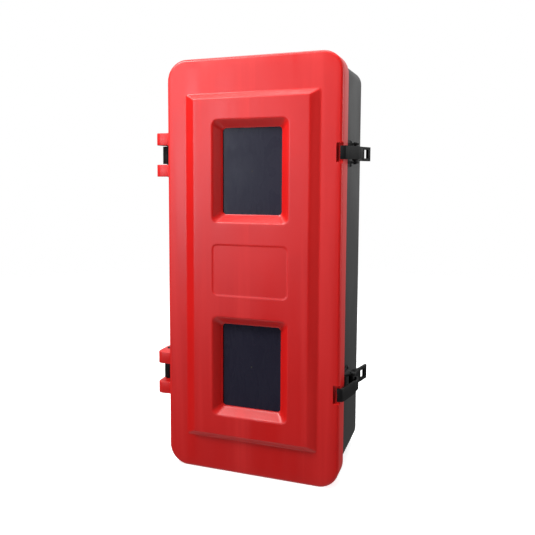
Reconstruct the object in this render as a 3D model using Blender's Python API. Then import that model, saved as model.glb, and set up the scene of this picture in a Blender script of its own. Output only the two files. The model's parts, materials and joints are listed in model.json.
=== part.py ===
"""Wall cabinet for firefighting equipment: a moulded shell, a hinged lid-like door with two windows, and two
over-centre draw latches. Metres, +Z up. The origin is the centre of the flat back face, and the door faces -Y."""

import math

import bmesh
import bpy
from mathutils import Matrix, Vector

# --- overall ---------------------------------------------------------------------------------------------------
DOOR_WIDTH = 0.322
DOOR_HEIGHT = 0.756
DEPTH = 0.250            # back face to the door's flat front
GAP = 0.0003             # between parts that touch
RUNNING = 0.0003         # pin to bore, on the radius
ROUND = 12               # sides of a small round piece
EPS = 0.002              # how far a cutter runs past what it cuts

# --- shell -----------------------------------------------------------------------------------------------------
SHELL_HALF_X = 0.152
SHELL_HALF_Z = 0.371
SHELL_FRONT = -0.240
SHELL_WALL = 0.0035
SHELL_CORNER = 0.026     # corners of the outline
SHELL_FILLET = 0.024     # edge between the sides and the back
MOUTH_MARGIN = 0.012     # width of the flange round the mouth
MOUTH_THICK = 0.003
STATION_Z = 0.208        # height of the hinges and latches, above and below the middle
NOTCH_HALF_Z = 0.0175    # notches in the back's corners
NOTCH_DEPTH = 0.012
NOTCH_FROM_X = 0.124
WALL_HOLE_R = 0.0045
WALL_HOLES = [(x, z) for x in (-0.090, 0.090) for z in (-0.285, 0.285)]
DRAIN_R = 0.005
DRAIN_Y = -0.215

# --- door ------------------------------------------------------------------------------------------------------
DOOR_HALF_X = DOOR_WIDTH / 2
DOOR_HALF_Z = DOOR_HEIGHT / 2
DOOR_FRONT = -DEPTH
DOOR_RIM = 0.044         # how far the rim reaches back
DOOR_WALL = 0.0035
DOOR_CORNER = 0.037
DOOR_EDGE = 0.006        # rounding between the front and the rim
PLATEAU_BASE = (0.1230, 0.3150)
PLATEAU_TOP = (0.1065, 0.3055)
PLATEAU_RISE = 0.0082
LABEL_HALF = (0.0694, 0.0462)
LABEL_CORNER = 0.009
LABEL_DEPTH = 0.0007
WINDOW_Z = 0.177
RECESS_MOUTH = (0.0702, 0.0915)
RECESS_FLOOR = (0.0555, 0.0775)
RECESS_CORNER = 0.010
RECESS_DEPTH = 0.0148
LEDGE_THICK = 0.002
LEDGE_LIP = 0.0006
PANE_HALF = (0.0625, 0.0845)
PANE_THICK = 0.003
RETAINER_HALF = (0.0710, 0.0930)
RETAINER_THICK = 0.003
BOSS_AT = [(x, z) for x in (-0.0668, 0.0668) for z in (-0.062, 0.062)]
BOSS_R = 0.0036
SEAL_OUTER = 0.0065      # how far the seal lies inside the shell's outline
SEAL_WIDTH = 0.0055
KEEPER_HALF_Z = 0.0162   # pocket in the door's edge that a latch hooks into
KEEPER_FROM_X = 0.1497
KEEPER_DEPTH = 0.0062
KEEPER_WALL = 0.003

# --- hinges ----------------------------------------------------------------------------------------------------
HINGE_X = -0.180
HINGE_Y = -0.2035
HINGE_PIN_R = 0.003
LUG_R = 0.012
LUG_TALL = 0.0225
KNUCKLE_TALL = 0.033
LUG_MIDDLE_Z = 0.02925   # a lug's middle above or below the hinge's
LUG_FRONT = -0.238
LUG_BACK = -0.182
KNUCKLE_R = 0.011

# --- latches ---------------------------------------------------------------------------------------------------
PIVOT = (0.167, -0.166)  # the lever's pin on the bracket, in plan
LINK = (0.166, -0.149)   # the hook's pin on the lever, in plan
LATCH_TALL = 0.026       # the lever
HOOK_TALL = 0.0225       # the hook's lip and strap
TONGUE_TALL = 0.0174
FORK_GAP = 0.0184
STRAP_THICK = 0.004
HOOK_LIP = [(0.1563, -0.2463), (0.1605, -0.2463), (0.1640, -0.2455), (0.1655, -0.2425)]
HOOK_STRAP = [(0.1670, -0.236), (0.1692, -0.226), (0.1730, -0.207), (0.1757, -0.195)]
HOOK_NECK = [(0.1768, -0.189), (0.1780, -0.181), (0.1783, -0.172), (0.1768, -0.162), (0.1725, -0.1535)]
LINK_BARREL_R = 0.0045
LINK_PIN_R = 0.002
PIVOT_BARREL_R = 0.0055
PIVOT_PIN_R = 0.0022
CHEEK = [PIVOT, LINK, (0.1662, -0.138), (0.1675, -0.126)]
TAIL = [(0.1668, -0.131), (0.1690, -0.121), (0.1728, -0.108), (0.1785, -0.082)]
TAIL_THICK = 0.005
TAIL_SLOT = (0.020, 0.016)   # length and height of the seal slot
TAIL_SLOT_AT = (0.1746, -0.1012)
BRACKET_HALF_Z = 0.024
BRACKET_Y = (-0.194, -0.138)
BRACKET_THICK = 0.003
EAR_INNER = 0.014
EAR_OUTER = 0.018
EAR_R = 0.0068
EAR_FOOT_Y = (-0.186, -0.146)
BRACKET_SCREWS = [(y, z) for y in (-0.189, -0.143) for z in (-0.0205, 0.0205)]

# --- inside ----------------------------------------------------------------------------------------------------
CYLINDER_R = 0.091       # the stored extinguisher that the cradles fit
CYLINDER_Y = -0.1225
CRADLE_Z = 0.105
CRADLE_HALF_X = 0.080
CRADLE_FRONT = -0.055
CRADLE_TALL = 0.030
CRADLE_FOOT_X = 0.097
CRADLE_FOOT_THICK = 0.006
CRADLE_SCREW_X = 0.0885
REST_HALF_X = 0.085
REST_Y = (-0.205, -0.040)
REST_TALL = 0.012
REST_DISH_R = 0.078
REST_DISH_DEPTH = 0.004

# --- fasteners -------------------------------------------------------------------------------------------------
SCREW_R = 0.0016
SCREW_HEAD_R = 0.0032
SCREW_HEAD_TALL = 0.0017
WASHER_R = 0.012
WASHER_THICK = 0.0015

RED = ("red_plastic", (0.62, 0.022, 0.018), 0.42, 0.0)
BLACK = ("black_plastic", (0.022, 0.023, 0.024), 0.5, 0.0)
LATCH_BLACK = ("latch_plastic", (0.014, 0.014, 0.015), 0.42, 0.0)
GLAZING = ("smoked_glazing", (0.03, 0.03, 0.05), 0.08, 0.0)
RUBBER = ("seal_rubber", (0.03, 0.03, 0.03), 0.8, 0.0)
STEEL = ("zinc_steel", (0.62, 0.63, 0.65), 0.3, 1.0)
BLACK_STEEL = ("black_steel", (0.03, 0.03, 0.032), 0.42, 0.8)


def clear_scene():
    for old in list(bpy.data.objects):
        bpy.data.objects.remove(old)


def collection(name):
    made = bpy.data.collections.new(name)
    bpy.context.scene.collection.children.link(made)
    return made


def material(finish):
    name, colour, roughness, metallic = finish
    if name in bpy.data.materials:
        return bpy.data.materials[name]
    made = bpy.data.materials.new(name)
    made.use_nodes = True
    shader = made.node_tree.nodes["Principled BSDF"]
    shader.inputs["Base Color"].default_value = (*colour, 1.0)
    shader.inputs["Roughness"].default_value = roughness
    shader.inputs["Metallic"].default_value = metallic
    return made


def as_object(name, bm):
    """A bmesh as an object in the cabinet's collection, with its faces pointing out."""
    bmesh.ops.recalc_face_normals(bm, faces=bm.faces)
    mesh = bpy.data.meshes.new(name)
    bm.to_mesh(mesh)
    bm.free()
    made = bpy.data.objects.new(name, mesh)
    PARTS.objects.link(made)
    return made


def evaluated_mesh(obj):
    graph = bpy.context.evaluated_depsgraph_get()
    return bpy.data.meshes.new_from_object(obj.evaluated_get(graph))


def combine(target, others, operation):
    """Cuts the others from the target, or joins them to it, and removes them."""
    for other in others:
        cut = target.modifiers.new("cut", "BOOLEAN")
        cut.operation = operation
        cut.object = other
        bpy.context.view_layer.update()
        mesh = evaluated_mesh(target)
        target.modifiers.remove(cut)
        target.data = mesh
        bpy.data.objects.remove(other)
    return target


def cut(target, *others):
    return combine(target, others, "DIFFERENCE")


def join(target, *others):
    return combine(target, others, "UNION")


def finish(obj, look, body, sharp_degrees=35):
    """Gives a finished piece its material, its shading and the body that it moves with."""
    obj.data.materials.clear()
    obj.data.materials.append(material(look))
    obj.data.shade_smooth()
    obj.data.set_sharp_from_angle(angle=math.radians(sharp_degrees))
    if body is not None:
        offset = Matrix.Translation(-body.location)
        obj.data.transform(offset)
        obj.parent = body
    return obj


def joint_empty(name, x, y, z):
    made = bpy.data.objects.new(name, None)
    made.location = (x, y, z)
    PARTS.objects.link(made)
    return made


def block(name, x, y, z, corner=0.0, steps=6):
    """A box between limits given as pairs, with the edges along Y rounded by corner."""
    bm = bmesh.new()
    size = Vector((x[1] - x[0], y[1] - y[0], z[1] - z[0]))
    middle = Vector((sum(x), sum(y), sum(z))) / 2
    bmesh.ops.create_cube(bm, size=1.0, matrix=Matrix.Translation(middle) @ Matrix.Diagonal((*size, 1.0)))
    if corner:
        along_y = [e for e in bm.edges if abs((e.verts[0].co - e.verts[1].co).y) > size.y / 2]
        bmesh.ops.bevel(bm, geom=along_y, offset=corner, segments=steps, profile=0.5, affect="EDGES")
    return as_object(name, bm)


def round_front_or_back(obj, y, radius, steps):
    """Rounds the outline of a block's face at this Y into its sides."""
    bm = bmesh.new()
    bm.from_mesh(obj.data)
    rim = [e for e in bm.edges if all(abs(v.co.y - y) < 1e-6 for v in e.verts)]
    rim = [e for e in rim if any(abs(f.normal.y) < 0.5 for f in e.link_faces)]
    bmesh.ops.bevel(bm, geom=rim, offset=radius, segments=steps, profile=0.5, affect="EDGES", clamp_overlap=True)
    bm.to_mesh(obj.data)
    bm.free()
    return obj


def frustum(name, near, far, y_near, y_far, z, corner=0.0, steps=5):
    """A tapered block: near and far are its half sizes in X and Z at y_near and y_far."""
    made = block(name, (-near[0], near[0]), (y_near, y_far), (-near[1], near[1]), corner, steps)
    middle = (y_near + y_far) / 2
    for v in made.data.vertices:
        if v.co.y > middle:
            v.co.x += (far[0] - near[0]) * math.copysign(1.0, v.co.x)
            v.co.z += (far[1] - near[1]) * math.copysign(1.0, v.co.z)
        v.co.z += z
    return made


def rod(name, start, end, radius, sides=ROUND, end_radius=None):
    """A closed cylinder, or a cone, from one point to another."""
    start, end = Vector(start), Vector(end)
    bm = bmesh.new()
    turn = (end - start).to_track_quat("Z", "Y").to_matrix().to_4x4()
    place = Matrix.Translation((start + end) / 2) @ turn
    bmesh.ops.create_cone(
        bm,
        cap_ends=True,
        segments=sides,
        radius1=radius,
        radius2=radius if end_radius is None else end_radius,
        depth=(end - start).length,
        matrix=place,
    )
    return as_object(name, bm)


def smooth_line(points, per_span=2):
    """Points on a smooth curve through the given plan points."""
    ends = [points[0], *points, points[-1]]
    line = []
    for a, b, c, d in zip(ends, ends[1:], ends[2:], ends[3:]):
        for i in range(per_span):
            t = i / per_span
            line.append(tuple(
                0.5 * (2 * q + (r - p) * t + (2 * p - 5 * q + 4 * r - s) * t * t + (3 * q - p - 3 * r + s) * t ** 3)
                for p, q, r, s in zip(a, b, c, d)
            ))
    return [*line, points[-1]]


def plan_plate(name, outline, z_low, z_high):
    """A flat piece with this outline in plan, between two heights."""
    curve = bpy.data.curves.new(name, "CURVE")
    curve.dimensions = "2D"
    curve.fill_mode = "BOTH"
    curve.extrude = (z_high - z_low) / 2
    spline = curve.splines.new("POLY")
    spline.points.add(len(outline) - 1)
    for point, (x, y) in zip(spline.points, outline):
        point.co = (x, y, 0.0, 1.0)
    spline.use_cyclic_u = True
    flat = bpy.data.objects.new(name, curve)
    PARTS.objects.link(flat)
    bpy.context.view_layer.update()
    mesh = evaluated_mesh(flat)
    bpy.data.objects.remove(flat)
    bm = bmesh.new()
    bm.from_mesh(mesh)
    bpy.data.meshes.remove(mesh)
    bmesh.ops.remove_doubles(bm, verts=bm.verts, dist=1e-6)
    bmesh.ops.translate(bm, verts=bm.verts, vec=(0.0, 0.0, (z_low + z_high) / 2))
    return as_object(name, bm)


def ribbon(line, thickness, round_ends=0):
    """The outline of a strip of this thickness along a plan line, with round ends where steps are given."""
    half = thickness / 2
    left, right = [], []
    for i, point in enumerate(line):
        before, after = line[max(i - 1, 0)], line[min(i + 1, len(line) - 1)]
        along = (Vector(after) - Vector(before)).normalized()
        across = Vector((-along.y, along.x)) * half
        left.append(tuple(Vector(point) + across))
        right.append(tuple(Vector(point) - across))

    def cap(centre, from_point):
        spoke = Vector(from_point) - Vector(centre)
        return [
            tuple(Vector(centre) + Matrix.Rotation(-math.pi * k / round_ends, 2) @ spoke)
            for k in range(1, round_ends)
        ]

    end = cap(line[-1], left[-1]) if round_ends else []
    start = cap(line[0], right[0]) if round_ends else []
    return [*left, *end, *reversed(right), *start]


def screw(name, head_at, inward, shank_length, look, body=None):
    """A pan-head screw whose head stands on head_at and whose shank runs along inward."""
    inward = Vector(inward)
    seat = Vector(head_at) - inward * GAP
    head = rod(name, seat - inward * SCREW_HEAD_TALL, seat, SCREW_HEAD_R * 0.78, 10, SCREW_HEAD_R)
    shank = rod("shank", seat - inward * SCREW_HEAD_TALL / 2, seat + inward * shank_length, SCREW_R, 8)
    return finish(join(head, shank), look, body)


def hole(at, along, radius, length):
    """A round cutter centred on a point."""
    half = Vector(along) * length / 2
    return rod("hole", Vector(at) - half, Vector(at) + half, radius)


# --- shell -----------------------------------------------------------------------------------------------------
def notch_cutters(grown):
    """The notches in the back's corners, larger by the wall for the inside."""
    pieces = []
    for side in (-1, 1):
        for z in (-STATION_Z, 0.0, STATION_Z):
            x = sorted((side * (NOTCH_FROM_X - grown), side * (SHELL_HALF_X + EPS)))
            tall = NOTCH_HALF_Z + grown
            pieces.append(block("notch", x, (-NOTCH_DEPTH - grown, EPS), (z - tall, z + tall)))
    return pieces


def make_shell():
    shell = block(
        "body_shell", (-SHELL_HALF_X, SHELL_HALF_X), (SHELL_FRONT, 0.0), (-SHELL_HALF_Z, SHELL_HALF_Z), SHELL_CORNER
    )
    round_front_or_back(shell, 0.0, SHELL_FILLET, 5)
    inner_x, inner_z = SHELL_HALF_X - SHELL_WALL, SHELL_HALF_Z - SHELL_WALL
    cavity = block(
        "cavity",
        (-inner_x, inner_x),
        (SHELL_FRONT + MOUTH_THICK, -SHELL_WALL),
        (-inner_z, inner_z),
        SHELL_CORNER - SHELL_WALL,
    )
    round_front_or_back(cavity, -SHELL_WALL, SHELL_FILLET - SHELL_WALL, 5)
    cut(cavity, *notch_cutters(SHELL_WALL))
    cut(shell, *notch_cutters(0.0))
    cut(shell, cavity)
    mouth_x, mouth_z = SHELL_HALF_X - MOUTH_MARGIN, SHELL_HALF_Z - MOUTH_MARGIN
    mouth = block(
        "mouth",
        (-mouth_x, mouth_x),
        (SHELL_FRONT - EPS, SHELL_FRONT + MOUTH_THICK + EPS),
        (-mouth_z, mouth_z),
        SHELL_CORNER - MOUTH_MARGIN,
    )
    cut(shell, mouth)
    for z in (-STATION_Z, STATION_Z):
        join(shell, hinge_knuckle(z))
        cut(shell, hole((HINGE_X, HINGE_Y, z), (0, 0, 1), HINGE_PIN_R + RUNNING, KNUCKLE_TALL + EPS))
        for y, dz in BRACKET_SCREWS:
            cut(shell, hole((SHELL_HALF_X, y, z + dz), (1, 0, 0), SCREW_R + RUNNING, 3 * SHELL_WALL))
    for x, z in WALL_HOLES:
        cut(shell, hole((x, 0.0, z), (0, 1, 0), WALL_HOLE_R, 3 * SHELL_WALL))
    for z in (-CRADLE_Z, CRADLE_Z):
        for x in (-CRADLE_SCREW_X, CRADLE_SCREW_X):
            join(shell, rod("boss", (x, -SHELL_WALL / 2, z), (x, -SHELL_WALL - 0.003, z), 2.2 * SCREW_HEAD_R))
            cut(shell, hole((x, -SHELL_WALL - 0.003, z), (0, 1, 0), SCREW_R + RUNNING, 0.009))
    cut(shell, hole((0.0, DRAIN_Y, -SHELL_HALF_Z), (0, 0, 1), DRAIN_R, 3 * SHELL_WALL))
    return finish(shell, BLACK, None)


def hinge_knuckle(z):
    """The shell's half of a hinge: a barrel round the pin and an arm back to the side wall."""
    low, high = z - KNUCKLE_TALL / 2, z + KNUCKLE_TALL / 2
    barrel = rod("barrel", (HINGE_X, HINGE_Y, low), (HINGE_X, HINGE_Y, high), KNUCKLE_R, 24)
    root_x = -SHELL_HALF_X + SHELL_WALL / 2
    back = HINGE_Y + KNUCKLE_R
    arm = plan_plate(
        "arm",
        [(HINGE_X, HINGE_Y), (root_x, HINGE_Y + 0.0005), (root_x, back + 0.012), (HINGE_X, back)],
        low + GAP,
        high - GAP,
    )
    return join(barrel, arm)


# --- door ------------------------------------------------------------------------------------------------------
def door_skin(name, inset, front, back):
    """The door's box and its raised plateau, inside the outer faces by inset."""
    half_x, half_z = DOOR_HALF_X - inset, DOOR_HALF_Z - inset
    made = block(name, (-half_x, half_x), (front, back), (-half_z, half_z), DOOR_CORNER - inset, 8)
    round_front_or_back(made, front, DOOR_EDGE - inset, 3)
    near = [top - inset for top in PLATEAU_TOP]
    slope = [(base - top) / PLATEAU_RISE for base, top in zip(PLATEAU_BASE, PLATEAU_TOP)]
    far = [n + s * (PLATEAU_RISE + DOOR_WALL / 2) for n, s in zip(near, slope)]
    return join(made, frustum("plateau", near, far, front - PLATEAU_RISE, front + DOOR_WALL / 2, 0.0))


def recess(z, grown, floor_y):
    """A window's tapered recess, or with grown the wall round it, as far as floor_y."""
    face = DOOR_FRONT - PLATEAU_RISE
    slope = [(m - f) / RECESS_DEPTH for m, f in zip(RECESS_MOUTH, RECESS_FLOOR)]
    near = [m + grown + s * EPS for m, s in zip(RECESS_MOUTH, slope)]
    far = [m + grown - s * (floor_y - face) for m, s in zip(RECESS_MOUTH, slope)]
    return frustum("recess", near, far, face - EPS, floor_y, z, RECESS_CORNER + grown)


def keeper_pocket(z, wall):
    """The pocket in the door's edge for a latch's hook, or with wall the solid that surrounds it."""
    tall = KEEPER_HALF_Z + wall
    front = DOOR_FRONT + (DOOR_WALL / 2 if wall else -EPS)
    right = DOOR_HALF_X + (-DOOR_WALL / 2 if wall else EPS)
    return block(
        "keeper", (KEEPER_FROM_X - wall, right), (front, DOOR_FRONT + KEEPER_DEPTH + wall), (z - tall, z + tall)
    )


def door_lug(z):
    """A lug on the door's left rim, reaching back round the hinge pin."""
    rim_x = -DOOR_HALF_X + DOOR_WALL / 2
    inner = HINGE_X + LUG_R
    outer = HINGE_X - LUG_R
    steps = 4
    corner_front, corner_back = 0.011, 0.009

    def arc(cx, cy, radius, start, stop):
        return [
            (cx + radius * math.cos(start + (stop - start) * k / steps),
             cy + radius * math.sin(start + (stop - start) * k / steps))
            for k in range(steps + 1)
        ]

    outline = [(rim_x, LUG_FRONT + 0.002), (rim_x, -0.2075), (inner, -0.2035)]
    outline += arc(inner - corner_back, LUG_BACK - corner_back, corner_back, 0.0, math.pi / 2)
    outline += arc(outer + corner_back, LUG_BACK - corner_back, corner_back, math.pi / 2, math.pi)
    outline += arc(outer + corner_front, LUG_FRONT + corner_front, corner_front, math.pi, 1.5 * math.pi)
    lug = plan_plate("lug", outline, z - LUG_TALL / 2, z + LUG_TALL / 2)
    return cut(lug, hole((HINGE_X, HINGE_Y, z), (0, 0, 1), HINGE_PIN_R + RUNNING, LUG_TALL + EPS))


def make_door(body):
    back = DOOR_FRONT + DOOR_RIM
    door = door_skin("door_panel", 0.0, DOOR_FRONT, back)
    hollow = door_skin("hollow", DOOR_WALL, DOOR_FRONT + DOOR_WALL, back + EPS)
    floor_y = DOOR_FRONT - PLATEAU_RISE + RECESS_DEPTH
    ledge_y = floor_y + LEDGE_THICK
    for z in (-WINDOW_Z, WINDOW_Z):
        cut(hollow, recess(z, DOOR_WALL, ledge_y))
        for x, dz in BOSS_AT:
            start, end = DOOR_FRONT - PLATEAU_RISE + DOOR_WALL / 2, ledge_y + GAP + PANE_THICK
            cut(hollow, rod("boss", (x, start, z + dz), (x, end, z + dz), BOSS_R))
    for z in (-STATION_Z, STATION_Z):
        cut(hollow, keeper_pocket(z, KEEPER_WALL))
    cut(door, hollow)
    for z in (-WINDOW_Z, WINDOW_Z):
        cut(door, recess(z, 0.0, floor_y))
        half_x, half_z = RECESS_FLOOR[0] - LEDGE_LIP, RECESS_FLOOR[1] - LEDGE_LIP
        aperture = block(
            "aperture", (-half_x, half_x), (floor_y - EPS, ledge_y + EPS), (z - half_z, z + half_z), RECESS_CORNER
        )
        cut(door, aperture)
        for x, dz in BOSS_AT:
            cut(door, hole((x, ledge_y + PANE_THICK, z + dz), (0, 1, 0), SCREW_R + RUNNING, 0.010))
    label_y = DOOR_FRONT - PLATEAU_RISE
    label = block(
        "label",
        (-LABEL_HALF[0], LABEL_HALF[0]),
        (label_y - EPS, label_y + LABEL_DEPTH),
        (-LABEL_HALF[1], LABEL_HALF[1]),
        LABEL_CORNER,
        4,
    )
    cut(door, label)
    for z in (-STATION_Z, STATION_Z):
        cut(door, keeper_pocket(z, 0.0))
        for side in (-1, 1):
            join(door, door_lug(z + side * LUG_MIDDLE_Z))
    return finish(door, RED, body)


def make_window(level, z, body):
    """A pane behind its aperture, the ring that clamps it, and the ring's screws."""
    ledge_y = DOOR_FRONT - PLATEAU_RISE + RECESS_DEPTH + LEDGE_THICK
    pane_y = ledge_y + GAP
    pane = block(
        f"{level}_window_pane",
        (-PANE_HALF[0], PANE_HALF[0]),
        (pane_y, pane_y + PANE_THICK),
        (z - PANE_HALF[1], z + PANE_HALF[1]),
        RECESS_CORNER,
        4,
    )
    finish(pane, GLAZING, body)
    ring_y = pane_y + PANE_THICK + GAP
    ring = block(
        f"{level}_pane_retainer",
        (-RETAINER_HALF[0], RETAINER_HALF[0]),
        (ring_y, ring_y + RETAINER_THICK),
        (z - RETAINER_HALF[1], z + RETAINER_HALF[1]),
        0.012,
        4,
    )
    inside = block(
        "inside",
        (-RECESS_FLOOR[0], RECESS_FLOOR[0]),
        (ring_y - EPS, ring_y + RETAINER_THICK + EPS),
        (z - RECESS_FLOOR[1], z + RECESS_FLOOR[1]),
        RECESS_CORNER,
        4,
    )
    cut(ring, inside)
    for number, (x, dz) in enumerate(BOSS_AT, 1):
        cut(ring, hole((x, ring_y, z + dz), (0, 1, 0), SCREW_R + RUNNING, 4 * RETAINER_THICK))
        seat = (x, ring_y + RETAINER_THICK, z + dz)
        screw(f"{level}_retainer_screw_{number}", seat, (0, -1, 0), 0.007, STEEL, body)
    finish(ring, BLACK, body)


def make_seal(body):
    """The door's seal, a flat ring that meets the flange round the shell's mouth."""
    y = (DOOR_FRONT + DOOR_WALL + GAP, SHELL_FRONT - GAP)
    outer_x, outer_z = SHELL_HALF_X - SEAL_OUTER, SHELL_HALF_Z - SEAL_OUTER
    inner_x, inner_z = outer_x - SEAL_WIDTH, outer_z - SEAL_WIDTH
    seal = block("door_seal", (-outer_x, outer_x), y, (-outer_z, outer_z), SHELL_CORNER - SEAL_OUTER)
    inside = block(
        "inside",
        (-inner_x, inner_x),
        (y[0] - EPS, y[1] + EPS),
        (-inner_z, inner_z),
        SHELL_CORNER - SEAL_OUTER - SEAL_WIDTH,
    )
    cut(seal, inside)
    return finish(seal, RUBBER, body)


# --- hinge pins ------------------------------------------------------------------------------------------------
def make_hinge_pin(level, z):
    reach = LUG_MIDDLE_Z + LUG_TALL / 2
    head_low = z + reach + GAP
    foot, top = (HINGE_X, HINGE_Y, z - reach - 0.001), (HINGE_X, HINGE_Y, head_low + 0.001)
    pin = rod(f"{level}_hinge_pin", foot, top, HINGE_PIN_R)
    head_top = (HINGE_X, HINGE_Y, head_low + 0.002)
    join(pin, rod("head", (HINGE_X, HINGE_Y, head_low), head_top, 0.0055, end_radius=0.004))
    return finish(pin, BLACK_STEEL, None)


# --- latches ---------------------------------------------------------------------------------------------------
def make_bracket(level, z):
    base_x = (SHELL_HALF_X + GAP, SHELL_HALF_X + GAP + BRACKET_THICK)
    bracket = block(f"{level}_latch_bracket", base_x, BRACKET_Y, (z - BRACKET_HALF_Z, z + BRACKET_HALF_Z))
    ear_line = [(base_x[0] + BRACKET_THICK / 2, EAR_FOOT_Y[1]), (base_x[0] + BRACKET_THICK / 2, EAR_FOOT_Y[0])]
    steps = 8
    tip = [
        (PIVOT[0] + EAR_R * math.sin(math.pi * k / steps), PIVOT[1] - EAR_R * math.cos(math.pi * k / steps))
        for k in range(steps + 1)
    ]
    for side in (-1, 1):
        low, high = sorted((z + side * EAR_INNER, z + side * EAR_OUTER))
        join(bracket, plan_plate("ear", [*ear_line, *tip], low, high))
    cut(bracket, hole((*PIVOT, z), (0, 0, 1), PIVOT_PIN_R + RUNNING, 3 * EAR_OUTER))
    for number, (y, dz) in enumerate(BRACKET_SCREWS, 1):
        cut(bracket, hole((base_x[0], y, z + dz), (1, 0, 0), SCREW_R + RUNNING, 4 * BRACKET_THICK))
        screw(f"{level}_bracket_screw_{number}", (base_x[1], y, z + dz), (-1, 0, 0), 0.0095, BLACK_STEEL)
    finish(bracket, LATCH_BLACK, None)


def headed_pin(name, centre, radius, half_length):
    """A rivet-like pin along Z with a flat head at each end."""
    x, y, z = centre
    pin = rod(name, (x, y, z - half_length), (x, y, z + half_length), radius)
    head_r, head_t = radius * 1.6, 0.0012
    for side in (-1, 1):
        inner = z + side * (half_length - head_t)
        join(pin, rod("head", (x, y, inner), (x, y, inner + side * head_t), head_r))
    return pin


def make_lever(level, z, body):
    half = LATCH_TALL / 2
    fork = FORK_GAP / 2
    lever = rod(f"{level}_latch_lever", (*PIVOT, z - half), (*PIVOT, z + half), PIVOT_BARREL_R, 24)
    cheek = ribbon(smooth_line(CHEEK), 2 * PIVOT_BARREL_R, 6)
    join(lever, plan_plate("cheek", cheek, z + fork, z + half - GAP / 3))
    join(lever, plan_plate("cheek", cheek, z - half + GAP / 3, z - fork))
    tail = plan_plate("tail", ribbon(smooth_line(TAIL), TAIL_THICK, 4), z - half, z + half)
    along = (Vector(TAIL[-1]) - Vector(TAIL[-2])).normalized()
    slot = block(
        "slot",
        (-TAIL_THICK, TAIL_THICK),
        (-TAIL_SLOT[0] / 2, TAIL_SLOT[0] / 2),
        (-TAIL_SLOT[1] / 2, TAIL_SLOT[1] / 2),
    )
    turn = Matrix.Rotation(-math.atan2(along.x, along.y), 4, "Z")
    slot.data.transform(Matrix.Translation((*TAIL_SLOT_AT, z)) @ turn)
    join(lever, cut(tail, slot))
    cut(lever, hole((*PIVOT, z), (0, 0, 1), PIVOT_PIN_R + RUNNING, 2 * LATCH_TALL))
    cut(lever, hole((*LINK, z), (0, 0, 1), LINK_PIN_R + RUNNING, 2 * LATCH_TALL))
    return finish(lever, LATCH_BLACK, body)


def make_hook(level, z, body):
    """The hook: a lip in the door's pocket, a strap along the side, and a narrow neck round the lever's pivot."""
    line = smooth_line([*HOOK_LIP, *HOOK_STRAP, *HOOK_NECK, LINK])
    split = 2 * (len(HOOK_LIP) + len(HOOK_STRAP))
    half = HOOK_TALL / 2
    tongue = TONGUE_TALL / 2
    hook = plan_plate(f"{level}_latch_hook", ribbon(line[: split + 1], STRAP_THICK), z - half, z + half)
    join(hook, plan_plate("neck", ribbon(line[split - 2:], STRAP_THICK * 0.98), z - tongue, z + tongue))
    join(hook, rod("barrel", (*LINK, z - tongue - GAP / 3), (*LINK, z + tongue + GAP / 3), LINK_BARREL_R, 20))
    cut(hook, hole((*LINK, z), (0, 0, 1), LINK_PIN_R + RUNNING, 2 * LATCH_TALL))
    return finish(hook, LATCH_BLACK, body)


def make_latch(level, z):
    lever_body = joint_empty(f"{level}_lever_axis", *PIVOT, z)
    hook_body = joint_empty(f"{level}_hook_axis", *LINK, z)
    make_bracket(level, z)
    make_lever(level, z, lever_body)
    make_hook(level, z, hook_body)
    pivot = headed_pin(f"{level}_latch_pivot_pin", (*PIVOT, z), PIVOT_PIN_R, EAR_OUTER + GAP + 0.0012)
    finish(pivot, BLACK_STEEL, None)
    link = headed_pin(f"{level}_latch_link_pin", (*LINK, z), LINK_PIN_R, LATCH_TALL / 2 + GAP + 0.0012)
    finish(link, BLACK_STEEL, lever_body)


# --- inside ----------------------------------------------------------------------------------------------------
def make_cradle(level, z):
    """A saddle for a cylinder, screwed to two bosses on the back."""
    low, high = z - CRADLE_TALL / 2, z + CRADLE_TALL / 2
    back = -SHELL_WALL - 0.003 - GAP
    cradle = block(f"{level}_cradle", (-CRADLE_HALF_X, CRADLE_HALF_X), (CRADLE_FRONT, back), (low, high))
    foot_y = (back - CRADLE_FOOT_THICK, back - 0.0001)
    foot = block("foot", (-CRADLE_FOOT_X, CRADLE_FOOT_X), foot_y, (low + GAP, high - GAP))
    join(cradle, foot)
    cut(cradle, rod("cylinder", (0, CYLINDER_Y, low - EPS), (0, CYLINDER_Y, high + EPS), CYLINDER_R, 48))
    for number, x in enumerate((-CRADLE_SCREW_X, CRADLE_SCREW_X), 1):
        cut(cradle, hole((x, back, z), (0, 1, 0), SCREW_R + RUNNING, 4 * CRADLE_FOOT_THICK))
        screw(f"{level}_cradle_screw_{number}", (x, back - CRADLE_FOOT_THICK, z), (0, 1, 0), 0.008, STEEL)
    finish(cradle, BLACK, None)


def make_base_rest():
    """A dished rubber pad on the floor that the stored cylinder stands on."""
    floor = -SHELL_HALF_Z + SHELL_WALL + GAP
    top = floor + REST_TALL
    rest = block("base_rest", (-REST_HALF_X, REST_HALF_X), REST_Y, (floor, top))
    middle = sum(REST_Y) / 2
    cut(rest, rod("dish", (0, middle, top - REST_DISH_DEPTH), (0, middle, top + EPS), REST_DISH_R, 40))
    return finish(rest, RUBBER, None)


def make_washers():
    """Large washers inside the four wall-fixing holes."""
    for number, (x, z) in enumerate(WALL_HOLES, 1):
        y = -SHELL_WALL - GAP
        washer = rod(f"wall_washer_{number}", (x, y, z), (x, y - WASHER_THICK, z), WASHER_R, 16)
        finish(cut(washer, hole((x, y, z), (0, 1, 0), WALL_HOLE_R, 0.01)), STEEL, None)


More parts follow.
